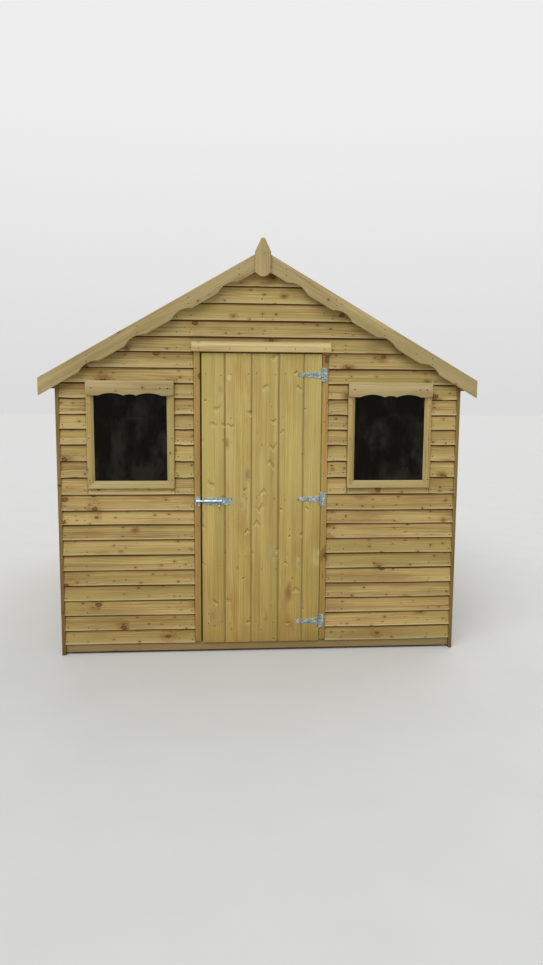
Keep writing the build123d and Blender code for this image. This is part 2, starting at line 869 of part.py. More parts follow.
def main():
    os.makedirs("parts", exist_ok=True)
    floor_parts()
    front_frame()
    back_frame()
    side_frames()
    cladding()
    corner_strips()
    door_surround()
    window_parts("window_left", -window_centre)
    window_parts("window_right", window_centre)
    door_boards()
    door_backing()
    hinges()
    pad_bolt()
    roof()
    gable_trim()


main()
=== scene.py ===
"""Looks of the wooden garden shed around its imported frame: metres, +X right, +Y to the back, +Z up."""
import math
import random
from collections import namedtuple

import bmesh
import bpy
from mathutils import Matrix, Vector


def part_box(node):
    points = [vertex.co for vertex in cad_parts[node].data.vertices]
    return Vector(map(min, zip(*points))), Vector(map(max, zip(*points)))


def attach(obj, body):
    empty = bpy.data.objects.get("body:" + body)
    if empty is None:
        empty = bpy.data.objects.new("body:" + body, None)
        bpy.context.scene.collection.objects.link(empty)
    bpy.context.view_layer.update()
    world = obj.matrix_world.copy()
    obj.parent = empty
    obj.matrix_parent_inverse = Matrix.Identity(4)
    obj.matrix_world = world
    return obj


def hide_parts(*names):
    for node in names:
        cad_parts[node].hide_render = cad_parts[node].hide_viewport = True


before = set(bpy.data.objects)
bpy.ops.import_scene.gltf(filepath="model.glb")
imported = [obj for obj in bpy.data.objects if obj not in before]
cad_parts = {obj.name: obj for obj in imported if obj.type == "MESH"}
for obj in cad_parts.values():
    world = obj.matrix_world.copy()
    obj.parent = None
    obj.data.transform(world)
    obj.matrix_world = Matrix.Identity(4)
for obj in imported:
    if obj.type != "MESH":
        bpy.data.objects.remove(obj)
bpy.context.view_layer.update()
random.seed(8)

# Directions, and the sides and ends of the shed with the way they face along X or Y
FORWARD = Vector((0, -1, 0))
BACK = Vector((0, 1, 0))
RIGHT = Vector((1, 0, 0))
UP = Vector((0, 0, 1))
SIDES = ((-1, "left"), (1, "right"))
ENDS = ((-1, "front"), (1, "back"))
CORNERS = ("front_left", "front_right", "back_left", "back_right")

# Places read from the frame: the faces of front and door, where the lapped boards start and end, and the roof
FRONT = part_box("front_cladding_gable")[0].y
DOOR_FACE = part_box("door_boards")[0].y
LOWEST_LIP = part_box("right_cladding")[0].z
HALF_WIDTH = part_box("right_cladding")[1].x
SIDE_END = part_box("right_cladding")[1].y
SIDE_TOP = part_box("right_cladding")[1].z
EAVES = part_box("corner_strip_front_right")[1].z
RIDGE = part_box("roof_boards_right")[1].z

# A lapped board: thickness at its lip and top, height of a course, and how far it reaches up behind the next
BOARD_LIP = 0.016
BOARD_TOP = 0.007
BOARD_PITCH = 0.094
BOARD_LAP = 0.012
# How far it wavers, the distance between its stations, and the length of the painted shade at its ends
BOARD_WAVER = 0.0026
STATION_STEP = 0.24
SHADED_END = 0.008
# Gaps from a board's end to a strip or window frame, and from the gable's boards to the roof
BOARD_GAP = 0.0014
ROOF_GAP = 0.001
# Thickness of the roof's boards
ROOF_BOARD = 0.012

# Lips of the front's boards that stand off the regular courses, in millimetres, as in the photo
LIP_SHIFTS = {0: 6, 9: -9, 10: -5, 11: 4, 12: 9, 13: 14, 14: 13, 15: 8, 16: 9, 17: 5, 19: 2, 20: -4, 21: -4,
              22: 2, 23: 7}
# The first course that runs over the door from side to side
FIRST_WHOLE_COURSE = 19
# How far the other walls' lips stand off theirs
LIP_WAVER = 0.003

# How far nails keep from a board's end, from each other and from the roof
NAIL_INSET = 0.018
NAIL_SPACING = 0.01
NAIL_CLEAR = 0.02

# Rows and columns of a sheet of felt, its thickness, its lap, and the radius of its nails
FELT_ROWS = 8
FELT_COLUMNS = 40
FELT_THICKNESS = 0.0016
FELT_LAP = 0.07
FELT_NAIL = 0.0045

# The Mix node's colour sockets, which come after those for numbers and vectors
MIX_A = 6
MIX_B = 7
MIX_RESULT = 2

Knots = namedtuple("Knots", "inside heart around")
Coat = namedtuple("Coat", "material slot spread", defaults=[0.0])
Look = namedtuple("Look", "tone hue")
Timber = namedtuple("Timber", "middle axes shift look material_index")


def roof_pitch():
    """The roof's pitch, from the height the roof boards fall over their run."""
    low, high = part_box("roof_boards_right")
    run, fall = high.x - low.x, high.z - low.z
    pitch = math.atan2(fall, run)
    for _ in range(8):
        pitch = math.atan2(fall - ROOF_BOARD / math.cos(pitch), run)
    return pitch


PITCH = roof_pitch()


def down_slope(side):
    """The way straight down one side's slope."""
    return Vector((side * math.cos(PITCH), 0, -math.sin(PITCH)))


def off_slope(side):
    """The way straight up off one side's slope."""
    return Vector((side * math.sin(PITCH), 0, math.cos(PITCH)))


class Nodes:
    """The nodes of a material or world, and the base colour laid up so far."""

    def __init__(self, owner):
        owner.use_nodes = True
        self.owner = owner
        self.tree = owner.node_tree
        self.tree.nodes.clear()
        self.base = None

    def feed(self, socket, value):
        """Links a node's output to a socket, or sets the socket's own value."""
        if isinstance(value, bpy.types.NodeSocket):
            self.tree.links.new(value, socket)
        else:
            socket.default_value = value

    def add(self, kind, *inputs, **settings):
        """A new node, with its first sockets fed in their order."""
        node = self.tree.nodes.new("ShaderNode" + kind)
        for key, value in settings.items():
            setattr(node, key, value)
        for socket, value in zip(node.inputs, inputs):
            self.feed(socket, value)
        return node

    def fill(self, node, **values):
        """Feeds a node's sockets by name, with _ for a space, and gives its outputs."""
        for name, value in values.items():
            self.feed(node.inputs[name.replace("_", " ")], value)
        return node.outputs

    def math(self, operation, *values):
        return self.add("Math", *values, operation=operation).outputs[0]

    def times(self, a, b):
        return self.math("MULTIPLY", a, b)

    def shifted(self, value, factor, shift):
        """The value times a factor, plus a shift."""
        return self.math("MULTIPLY_ADD", value, factor, shift)

    def weigh(self, *terms):
        """Adds up pairs of a value and its weight."""
        total = None
        for value, weight in terms:
            part = self.times(value, weight)
            total = part if total is None else self.math("ADD", total, part)
        return total

    def mix(self, factor, a, b, blend="MIX"):
        node = self.add("Mix", factor, data_type="RGBA", blend_type=blend, clamp_factor=True)
        self.feed(node.inputs[MIX_A], a)
        self.feed(node.inputs[MIX_B], b)
        return node.outputs[MIX_RESULT]

    def lay(self, factor, over):
        """Lays a colour over the base as far as the factor says."""
        self.base = self.mix(factor, self.base, over)

    def tint(self, by):
        """Multiplies the base by a colour or a brightness."""
        self.base = self.mix(1.0, self.base, by, "MULTIPLY")

    def moved(self, vector, by):
        return self.add("VectorMath", vector, by, operation="ADD").outputs[0]

    def stretched(self, vector, scale):
        """The vector times a scale, which is one number or one for each axis."""
        factors = scale if isinstance(scale, tuple) else (scale,) * 3
        return self.add("VectorMath", vector, factors, operation="MULTIPLY").outputs[0]

    def noise(self, vector, scale, detail=2.0, roughness=0.5):
        node = self.add("TexNoise", self.stretched(vector, scale))
        return self.fill(node, Scale=1.0, Detail=detail, Roughness=roughness)["Fac"]

    def cells(self, vector, scale, dimensions="3D"):
        """Scattered cells: how far a place is from the middle of its cell, and each cell's own chance."""
        node = self.add("TexVoronoi", voronoi_dimensions=dimensions)
        outputs = self.fill(node, Vector=self.stretched(vector, scale), Scale=1.0)
        return outputs["Distance"], self.split(outputs["Color"])[0]

    def ease(self, value, low, high, start=0.0, end=1.0):
        """Goes smoothly from start to end while the value goes from low to high."""
        return self.add("MapRange", value, low, high, start, end, interpolation_type="SMOOTHSTEP").outputs[0]

    def attribute(self, name):
        return self.add("Attribute", attribute_name=name).outputs["Vector"]

    def place(self):
        """The place on the piece, in metres."""
        return self.add("TexCoord").outputs["Object"]

    def split(self, vector):
        return self.add("SeparateXYZ", vector).outputs

    def finish(self, roughness, metallic=0.0, height=None, lift=0.0, **sockets):
        """Closes the material with one shader; its bump is the height times the lift in metres."""
        sockets.update(Base_Color=self.base, Roughness=roughness, Metallic=metallic)
        if height is not None:
            bump = self.fill(self.add("Bump"), Strength=1.0, Distance=lift, Height=height)
            sockets["Normal"] = bump[0]
        shader = self.fill(self.add("BsdfPrincipled"), **sockets)
        self.add("OutputMaterial", shader[0])
        return self.owner


def material_nodes(name):
    return Nodes(bpy.data.materials.new(name))


def colour(red, green, blue):
    """A screen colour out of 255 as the renderer's own."""
    channels = []
    for value in (red, green, blue):
        share = value / 255
        channels.append(share / 12.92 if share <= 0.04045 else ((share + 0.055) / 1.055) ** 2.4)
    return (*channels, 1.0)


def knot_layer(n, grain, scale, share, widest):
    """Knots in a share of the cells: how far a place is inside one, at its heart, or around it."""
    distance, chance = n.cells(grain, (*scale, 0.0), "2D")
    ragged = n.shifted(n.noise(grain, (60.0, 90.0, 90.0), 4.0, 0.65), 0.16, -0.08)
    near = n.math("ADD", distance, ragged)
    size = n.ease(chance, 1.0 - share, 1.0, 0.0, widest)
    there = n.math("GREATER_THAN", chance, 1.0 - share * 0.8)
    inside = n.ease(n.math("SUBTRACT", near, size), -0.035, 0.012, 1.0, 0.0)
    heart = n.ease(n.math("SUBTRACT", near, n.times(size, 0.6)), -0.02, 0.01, 1.0, 0.0)
    around = n.ease(n.math("DIVIDE", near, n.math("ADD", size, 0.02)), 1.0, 3.2, 1.0, 0.0)
    return Knots(n.times(inside, there), heart, n.times(around, there))


def year_rings(n, grain, quick, around):
    """Growth rings across the board, bent by slow and quick noise and round the knots."""
    ring_width = 0.0115
    _, across, depth = n.split(grain)
    slow = n.noise(grain, (0.8, 4.6, 4.6))
    phase = n.weigh((across, 1.0), (depth, 0.7), (slow, 0.14), (quick, 0.014), (around, 0.02))
    wave = n.math("SINE", n.times(phase, 2 * math.pi / ring_width))
    return n.math("POWER", n.shifted(wave, 0.5, 0.5), 2.2)


def green_and_brown(n, grain, hue, green, brown):
    """Green patches on boards of a low hue, and brown ones on those of a high hue."""
    greened = n.ease(n.noise(grain, (0.9, 11.0, 11.0)), 0.40, 0.64)
    n.lay(n.times(greened, n.ease(hue, -1.0, 0.6, 0.7, 0.1)), green)
    browned = n.ease(n.noise(grain, (2.2, 12.0, 12.0), 4.0, 0.6), 0.46, 0.70)
    n.lay(n.times(browned, n.ease(hue, -0.6, 1.0, 0.12, 0.7)), brown)


def ground_stain(n, streak, foot):
    """The tint that wood takes towards the ground, and the dirt that rain splashes up."""
    height = n.math("ADD", n.split(n.place())[2], n.times(streak, 0.12))
    n.tint(n.mix(n.ease(height, 0.0, 1.5), foot, colour(255, 255, 255)))
    n.tint(n.ease(height, 0.0, 0.26, 0.74, 1.0))


def knot_marks(n, knots, pins, quick, blotch, faint):
    """Stains round the knots and pin knots, then the knots themselves, paler where they are faint."""
    stain = n.mix(n.times(blotch, faint), colour(130, 92, 42), colour(218, 200, 142))
    n.lay(n.times(knots.around, n.ease(quick, 0.38, 0.62, 0.1, 0.8 - 0.1 * faint)), stain)
    n.lay(n.times(pins.around, 0.3 - 0.15 * faint), stain)
    knot = n.mix(knots.heart, colour(74, 47, 14), colour(108, 76, 28))
    n.lay(n.times(knots.inside, 0.85 - 0.68 * faint), knot)
    n.lay(n.times(pins.inside, 0.85 - 0.35 * faint), colour(78, 50, 18))


def torn_grain(n, grain, quick):
    """Small tears that catch the light below and shade above, as planing leaves them."""
    bend = n.add("CombineXYZ", n.shifted(quick, 0.12, -0.06)).outputs[0]
    bent = n.moved(grain, bend)
    torn = knot_layer(n, bent, (11.0, 7.5), 0.5, 0.06).around
    lower = knot_layer(n, n.moved(bent, (0.007, 0.0, 0.0)), (11.0, 7.5), 0.5, 0.06).around
    n.lay(n.weigh((lower, 0.7), (torn, -0.7)), colour(216, 198, 144))
    n.lay(n.weigh((torn, 0.9), (lower, -0.9)), colour(112, 78, 24))


def wood(name, pale, deep, brown, green, share, faint=0.0, sawn=0.0, foot=(0.92, 0.89, 0.84, 1.0)):
    """Softwood along each piece's own grain, in four screen colours, with knots in a share of its cells.

    faint pales the knots and adds tears, sawn adds pale fibres, and foot is the tint near the ground.
    The grain layer says where in the tree a point was cut, the finish layer its tone, paleness and hue.
    Paleness is painted light: a painted highlight above 0 and painted shade below it, with darker end grain
    too.
    """
    n = material_nodes(name)
    grain = n.attribute("grain")
    tone, edge, hue = n.split(n.attribute("finish"))
    knots = knot_layer(n, grain, (5.0, 7.0), share, 0.12)
    pins = knot_layer(n, n.moved(grain, (3.3, 1.7, 0.0)), (13.0, 21.0), share * 0.66, 0.10)
    quick = n.noise(grain, (3.2, 24.0, 24.0), 3.0)
    rings = year_rings(n, grain, quick, knots.around)
    streak = n.ease(n.noise(grain, (0.6, 34.0, 34.0), 4.0, 0.65), 0.32, 0.68)
    blotch = n.ease(n.noise(grain, (1.9, 9.0, 9.0), 3.0), 0.35, 0.72)
    fibre = n.noise(grain, (11.0, 560.0, 560.0), 3.0, 0.7)
    line = n.ease(n.noise(grain, (1.6, 150.0, 150.0), 3.0, 0.6), 0.34, 0.66)
    dark = n.weigh((rings, 0.25), (streak, 0.42), (blotch, 0.34), (fibre, 0.44), (line, 0.36))
    dark = n.math("SUBTRACT", dark, 0.38)

    n.base = n.mix(dark, colour(*pale), colour(*deep))
    green_and_brown(n, grain, hue, colour(*green), colour(*brown))
    n.tint(n.shifted(tone, 1.0, 1.0))
    ground_stain(n, streak, foot)
    # Painted highlight where the paleness is above 0, on lips, eased edges and tops that face the light
    n.lay(n.times(n.math("MAXIMUM", edge, 0.0), 0.4), colour(214, 200, 156))
    knot_marks(n, knots, pins, quick, blotch, faint)
    # Painted shade where the paleness is below 0, under lips, in coves and gaps and at board ends; darker end
    # grain too
    n.lay(n.times(n.math("MINIMUM", edge, 0.0), -1.0), colour(88, 54, 4))
    if faint:
        torn_grain(n, grain, quick)
    if sawn:
        n.lay(n.times(n.ease(fibre, 0.4, 0.75), sawn), colour(186, 160, 112))
    height = n.weigh((rings, 0.4), (fibre, 0.6 + sawn), (knots.inside, 0.7))
    return n.finish(n.shifted(dark, -0.1, 0.66), height=height, lift=0.0007, Specular_IOR_Level=0.2)


def make_woods():
    """Each wood's material, its slot, and the share by which its pieces may differ in brightness."""
    board = wood("lapped_board_wood", (206, 180, 118), (140, 112, 60), (138, 102, 54), (164, 146, 82), 0.64)
    door = wood("door_board_wood", (203, 182, 113), (163, 137, 74), (168, 130, 66), (180, 163, 92), 0.34,
                faint=1.0, foot=(0.95, 0.88, 0.76, 1.0))
    trim_colours = ((194, 174, 124), (146, 124, 80), (152, 114, 70), (166, 150, 98))
    trim = wood("trim_wood", *trim_colours, 0.24)
    moulding = wood("moulding_wood", *trim_colours, 0.1)
    stile = wood("window_stile_wood", (194, 171, 110), (150, 126, 72), (152, 116, 64), (168, 150, 88), 0.1)
    strip = wood("strip_wood", (176, 146, 82), (142, 109, 54), (144, 98, 46), (154, 133, 68), 0.3)
    timber = wood("frame_timber_wood", (178, 152, 104), (148, 120, 78), (150, 108, 66), (158, 142, 92), 0.4,
                  sawn=0.35)
    deck = wood("deck_board_wood", (184, 156, 106), (156, 124, 78), (156, 110, 66), (164, 146, 94), 0.4)
    return {
        "board": Coat(board, "board_wood", 0.10),
        "door": Coat(door, "door_wood", 0.05),
        "trim": Coat(trim, "trim_wood", 0.04),
        "moulding": Coat(moulding, "trim_wood", 0.02),
        "stile": Coat(stile, "trim_wood", 0.04),
        "strip": Coat(strip, "strip_wood", 0.07),
        "timber": Coat(timber, "frame_wood", 0.10),
        "deck": Coat(deck, "deck_wood", 0.10),
    }


def galvanised():
    """Zinc-coated sheet with its spangle, dulled in places, with painted highlight facing up and painted
    shade facing down.
    """
    n = material_nodes("galvanised_zinc")
    place = n.place()
    shade = n.cells(place, 170.0)[1]
    dull = n.ease(n.noise(place, 30.0, 3.0), 0.45, 0.7)
    up = n.split(n.add("NewGeometry").outputs["Normal"])[2]
    n.base = n.mix(shade, colour(98, 116, 117), colour(200, 213, 210))
    n.lay(n.times(dull, 0.6), colour(92, 106, 110))
    # Painted shade on faces that look down, and a painted highlight on those that look up
    n.lay(n.ease(up, -0.8, -0.1, 1.0, 0.0), colour(58, 66, 68))
    n.lay(n.ease(up, 0.1, 0.8), colour(242, 248, 250))
    return n.finish(n.shifted(shade, 0.2, 0.28), 0.7, height=dull, lift=0.0002)


def nail_metal():
    n = material_nodes("nail_metal")
    n.base = n.mix(n.noise(n.place(), 90.0), colour(44, 27, 8), colour(78, 50, 18))
    return n.finish(0.8, Specular_IOR_Level=0.1)


def roof_felt():
    """Mineral-faced felt: dark green-grey grit, thinner in places, with faint runs down the slope."""
    n = material_nodes("mineral_felt")
    place = n.place()
    grit = n.noise(place, 800.0, 2.0, 0.7)
    coarse = n.noise(place, 120.0, 3.0, 0.7)
    cloud = n.noise(place, 2.6, 4.0, 0.6)
    runs = n.noise(place, (1.2, 16.0, 1.2), 3.0, 0.6)
    n.base = n.mix(n.ease(grit, 0.35, 0.65), colour(44, 50, 47), colour(112, 120, 112))
    n.lay(n.times(n.ease(coarse, 0.42, 0.62), 0.45), colour(58, 66, 60))
    n.lay(n.times(n.ease(cloud, 0.35, 0.7), 0.5), colour(70, 84, 74))
    n.lay(n.times(n.ease(runs, 0.5, 0.75), 0.35), colour(122, 126, 118))
    return n.finish(0.9, height=n.weigh((grit, 0.7), (coarse, 0.6)), lift=0.0011)


def glazing():
    """Transmissive glazing tinted near black, painted shade for the dark room behind it, with a faint sky and
    a little paler towards the sill.
    """
    n = material_nodes("window_glazing")
    place = n.place()
    wave = n.noise(place, 1.6, 1.0)
    fall = n.shifted(n.split(place)[2], -0.22, 0.30)
    dim = n.math("ADD", n.noise(place, (7.0, 7.0, 4.0), 4.0, 0.65), fall)
    # Near-black tint: painted shade for the dark room behind the glass, mottled and paler low down
    n.base = n.mix(dim, colour(60, 52, 30), colour(64, 60, 42))
    ior = n.ease(dim, 0.44, 0.66, 1.21, 1.40)
    return n.finish(0.03, height=wave, lift=0.004, Transmission_Weight=1.0, IOR=ior, Specular_IOR_Level=0.2,
                    Specular_Tint=(1.0, 0.93, 0.74, 1.0))


WOODS = make_woods()
ZINC = Coat(galvanised(), "galvanised")
NAIL = Coat(nail_metal(), "galvanised")
FELT = Coat(roof_felt(), "roof_felt")
GLAZING = Coat(glazing(), "glass")


def add_object(name, data):
    """A new object in the scene."""
    item = bpy.data.objects.new(name, data)
    bpy.context.scene.collection.objects.link(item)
    return item


def mesh_from(bm, name):
    """Turns a mesh being built into a finished one."""
    mesh = bpy.data.meshes.new(name)
    bm.to_mesh(mesh)
    bm.free()
    return mesh


def piece_from(bm, name, coat, replaced=(), body="shed"):
    """Makes a piece from a mesh being built, and says what it rides on and stands for."""
    bmesh.ops.recalc_face_normals(bm, faces=bm.faces)
    mesh = mesh_from(bm, name)
    mesh.materials.append(coat.material)
    mesh.shade_smooth()
    mesh.set_sharp_from_angle(angle=math.radians(28))
    piece = add_object(name, mesh)
    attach(piece, body)
    if replaced:
        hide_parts(*replaced)
    return piece


def recoat(coat, *nodes):
    """Gives the frame's own nodes a material."""
    for node in nodes:
        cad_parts[node].data.materials.clear()
        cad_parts[node].data.materials.append(coat.material)


def node_mesh(node):
    """A copy of a node's mesh to build on."""
    bm = bmesh.new()
    bm.from_mesh(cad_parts[node].data)
    bmesh.ops.remove_doubles(bm, verts=bm.verts, dist=1e-5)
    return bm


def islands(bm):
    """The separate solids of a mesh, as lists of vertices."""
    left = set(bm.verts)
    found = []
    for start in bm.verts:
        if start not in left:
            continue
        left.discard(start)
        group, queue = [], [start]
        while queue:
            vert = queue.pop()
            group.append(vert)
            for edge in vert.link_edges:
                other = edge.other_vert(vert)
                if other in left:
                    left.discard(other)
                    queue.append(other)
        found.append(group)
    return found


def spans(node, axis):
    """Lowest and highest place of each of a node's solids along an axis, 0 for X or 2 for Z."""
    bm = node_mesh(node)
    places = [[vert.co[axis] for vert in group] for group in islands(bm)]
    bm.free()
    return [(min(group), max(group)) for group in places]


def layers(elements):
    """The two layers that the wood shader reads, on a mesh's vertices or face corners."""
    vectors = elements.layers.float_vector
    return [vectors.get(name) or vectors.new(name) for name in ("grain", "finish")]


def a_look(wood_name, lift=0.0, hues=(-1, 1)):
    """Brightness and hue, green to brown, that one board differs by."""
    return Look(lift + random.uniform(-1, 1) * WOODS[wood_name].spread, random.uniform(*hues))


def a_shift():
    """Where in the endless tree a board was cut."""
    return Vector((random.uniform(-40, 40), random.uniform(-4, 4), random.uniform(-1, 1)))


def grain_axes(group):
    """Directions along, across and through a timber: its longest edge and its widest face lead."""
    edges = dict.fromkeys(edge for vert in group for edge in vert.link_edges)
    longest = max(edges, key=lambda edge: edge.calc_length())
    along = (longest.verts[1].co - longest.verts[0].co).normalized()
    if along.z < 0:
        along.negate()
    faces = dict.fromkeys(face for vert in group for face in vert.link_faces)
    level = [face for face in faces if abs(face.normal.dot(along)) < 0.3]
    widest = max(level, key=lambda face: face.calc_area())
    through = (widest.normal - along * widest.normal.dot(along)).normalized()
    return along, through.cross(along), through


def cove_shade(face, point, low, high):
    """Painted shade in the coves between the door's boards, deepening inwards on their flanks that face
    right.
    """
    if face.normal.x > 0.1 and face.normal.y < -0.3:
        sunk = (face.calc_center_median().y - low.y) / 0.004
        return -0.08 - 0.5 * min(1.0, sunk) ** 2
    return None


def covered_shade(face, point, low, high):
    """Painted shade on the front's framing where the boards cover it, above the bottom rail, so the gaps show
    dark.
    """
    return -1.0 if face.normal.y < -0.9 and face.calc_center_median().z > 0.1 else None


def lit_top_shade(face, point, low, high):
    """Painted highlight on a strip's rounded top where it slopes up."""
    return 0.7 if 0.12 < face.normal.z < 0.75 else None


def pelmet_shade(face, point, low, high):
    """Painted light on a pelmet: its face runs from painted shade at the scallops to a painted highlight up
    high, and its sloping top is highlighted too.
    """
    if face.normal.y < -0.9:
        return 0.66 * (point.z - low.z) / (high.z - low.z) - 0.24
    return lit_top_shade(face, point, low, high)


def plain_shade(face, eased, along):
    """Eased edges get a painted highlight, and end grain is darker."""
    if face in eased:
        return 0.55
    return -0.3 if abs(face.normal.dot(along)) > 0.7 else 0.0


def dressed(node, wood_name, body="shed", round_over=0.0012, lift=0.0, hues=(-1, 1), upright=False,
            stiles=None, shade=None):
    """The node's own timbers, with eased edges and a grain of their own.

    upright runs every grain up, stiles is the wood of the upright timbers, and shade gives the painted light
    of a face at a point, highlight above 0 and shade below, or None where the plain rule holds.
    """
    bm = node_mesh(node)
    bmesh.ops.dissolve_limit(bm, angle_limit=math.radians(1), verts=bm.verts, edges=bm.edges)
    number = bm.verts.layers.int.new("piece")
    timbers = []
    for index, group in enumerate(islands(bm)):
        along, across, through = grain_axes(group)
        if upright:
            along, across = UP, through.cross(UP)
        middle = sum((vert.co for vert in group), Vector()) / len(group)
        standing = stiles is not None and abs(along.z) > 0.9
        look = a_look(stiles, -0.03, (-0.6, 0.4)) if standing else a_look(wood_name, lift, hues)
        timbers.append(Timber(middle, (along, across, through), a_shift(), look, int(standing)))
        for vert in group:
            vert[number] = index
    sharp = [edge for edge in bm.edges if edge.is_manifold and edge.calc_face_angle(0) > math.radians(35)]
    rounded = bmesh.ops.bevel(bm, geom=sharp, offset=round_over, segments=2, profile=0.5, affect="EDGES",
                              clamp_overlap=True)
    eased = set(rounded["faces"])
    grain, finish = layers(bm.loops)
    bm.normal_update()
    low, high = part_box(node)
    for group in islands(bm):
        timber = timbers[max(vert[number] for vert in group)]
        for face in {face for vert in group for face in vert.link_faces}:
            face.material_index = timber.material_index
            for loop in face.loops:
                point = loop.vert.co
                offset = point - timber.middle
                loop[grain] = Vector([offset.dot(axis) for axis in timber.axes]) + timber.shift
                # Paleness paints light on each face corner: a highlight above 0, shade below
                pale = shade(face, point, low, high) if shade else None
                if pale is None:
                    pale = plain_shade(face, eased, timber.axes[0])
                loop[finish] = (timber.look.tone, pale, timber.look.hue)
    piece = piece_from(bm, node + "_dressed", WOODS[wood_name], [node], body)
    if stiles:
        piece.data.materials.append(WOODS[stiles].material)


def skin(bm, rings):
    """Faces between closed rings of vertices, from each ring to the next."""
    count = len(rings[0])
    for one, two in zip(rings, rings[1:]):
        for index in range(count):
            after = (index + 1) % count
            bm.faces.new((one[index], one[after], two[after], two[index]))


def plank(bm, section, stations, place, look, shift, end_shade=0.0):
    """Skins a closed section of (depth, height, paleness) points along its stations; paleness is painted
    highlight and shade, and the ends can be darkened with painted shade.
    """
    grain, finish = layers(bm.verts)
    ends = (stations[0][0], stations[-1][0])
    rings = []
    for along, depth_shift, height_shift in stations:
        # Painted shade on the end rings, where a board meets a strip, frame or corner
        dim = end_shade if along in ends else 0.0
        ring = []
        for depth, height, pale in section:
            vert = bm.verts.new(place(along, depth + depth_shift, height + height_shift))
            vert[grain] = Vector((along, height, depth)) + shift
            vert[finish] = (look.tone, pale - dim, look.hue)
            ring.append(vert)
        rings.append(ring)
    bm.faces.new(rings[0][::-1])
    bm.faces.new(rings[-1])
    skin(bm, rings)


def lapped_section(height):
    """A tapered board that leans on the one below: thick rounded lip low, thin top against the frame."""
    thin = BOARD_LIP - BOARD_TOP
    slant = thin / height
    top = BOARD_TOP - thin * BOARD_LAP / BOARD_PITCH
    reach = height + BOARD_LAP
    # Paleness: painted shade on the lip's underside and a painted highlight along its rounded nose
    lip = [
        (BOARD_TOP + 0.0004, 0.0, -0.8),
        (BOARD_LIP - 0.0022, 0.0, -0.5),
        (BOARD_LIP - 0.0006, 0.0008, 1.0),
        (BOARD_LIP, 0.0026, 1.0),
        (BOARD_LIP - 0.0006, 0.0075, 0.6),
    ]
    # Paleness: a faint painted highlight just above the lip, then painted shade that deepens up to the next
    # board's lip and over the hidden top
    face = [
        (0.014, 0.12),
        (height * 0.45, 0.0),
        (height * 0.72, -0.06),
        (height - 0.018, -0.13),
        (height - 0.010, -0.34),
        (height - 0.0067, -0.95),
        (height, -1.0),
    ]
    slanted = [(BOARD_LIP - slant * rise, rise, pale) for rise, pale in face]
    return [*lip, *slanted, (top, reach, -1.0), (0.0004, reach, -0.6)]


def stations_along(start, end):
    """Places along a board, each with a shift in depth and height for a little bow and waver."""
    count = max(2, round((end - start) / STATION_STEP))
    tilt = random.uniform(-1, 1) * BOARD_WAVER
    bow = random.uniform(-1, 1) * BOARD_WAVER
    rows = []
    for index in range(count + 1):
        share = index / count
        waver = random.uniform(-0.25, 0.25) * BOARD_WAVER
        rise = tilt * (share - 0.5) + bow * math.sin(math.pi * share) + waver
        rows.append((start + (end - start) * share, random.uniform(-0.5, 0.0) * BOARD_WAVER, rise))
    first, last = rows[0], rows[-1]
    return [first, (start + SHADED_END, *first[1:]), *rows[1:-1], (end - SHADED_END, *last[1:]), last]


def cut_off(bm, point, normal):
    """Cuts off what lies past a plane, and closes the cut."""
    cut = bmesh.ops.bisect_plane(bm, geom=[*bm.verts, *bm.edges, *bm.faces], dist=1e-6, plane_co=point,
                                 plane_no=normal, clear_outer=True)
    rim = [item for item in cut["geom_cut"] if isinstance(item, bmesh.types.BMEdge)]
    bmesh.ops.edgenet_fill(bm, edges=rim)


def under_roof(point):
    """Whether there is room for a nail between a point and the roof."""
    level = EAVES + (HALF_WIDTH - abs(point.x)) * math.tan(PITCH)
    return point.z < level - NAIL_CLEAR / math.cos(PITCH)


def merge(target, source):
    """Moves one mesh being built into another, with its layers."""
    mesh = mesh_from(source, "joined")
    target.from_mesh(mesh)
    bpy.data.meshes.remove(mesh)


def spokes(side, up, count, lean=0.0):
    """Directions all round, in the plane of two others."""
    turns = [step * 2 * math.pi / count + lean for step in range(count)]
    return [side * math.cos(turn) + up * math.sin(turn) for turn in turns]


def nail(bm, point, normal, radius=0.0033, lift=0.0006):
    """A small domed nail head on a surface."""
    side = normal.cross(UP)
    side = side.normalized() if side.length > 0.1 else RIGHT
    around = spokes(side, normal.cross(side), 8)
    rings = []
    for share, rise in ((1.0, -0.3), (0.95, 0.5), (0.5, 1.0)):
        ring = [point + spoke * radius * share + normal * lift * rise for spoke in around]
        rings.append([bm.verts.new(spot) for spot in ring])
    skin(bm, rings)
    bm.faces.new(rings[-1])
    bm.faces.new(rings[0][::-1])


def screw(bm, point, radius=0.0042):
    """A round-headed screw that faces forward, with a cross recess."""
    around = spokes(RIGHT, UP, 24, random.uniform(0, math.pi / 2))
    # Each ring's share of the radius, and how far it stands out, beside the cross and in its arms
    profile = ((1.0, -0.05, -0.05), (0.96, 0.18, 0.18), (0.78, 0.40, 0.40), (0.55, 0.48, 0.48),
               (0.5, 0.48, 0.12), (0.2, 0.08, 0.08))
    rings = []
    for share, beside, within in profile:
        ring = []
        for step, spoke in enumerate(around):
            height = within if step % 6 in (0, 1, 5) else beside
            ring.append(bm.verts.new(point + spoke * radius * share + FORWARD * radius * height))
        rings.append(ring)
    skin(bm, rings)
    bm.faces.new(rings[-1])


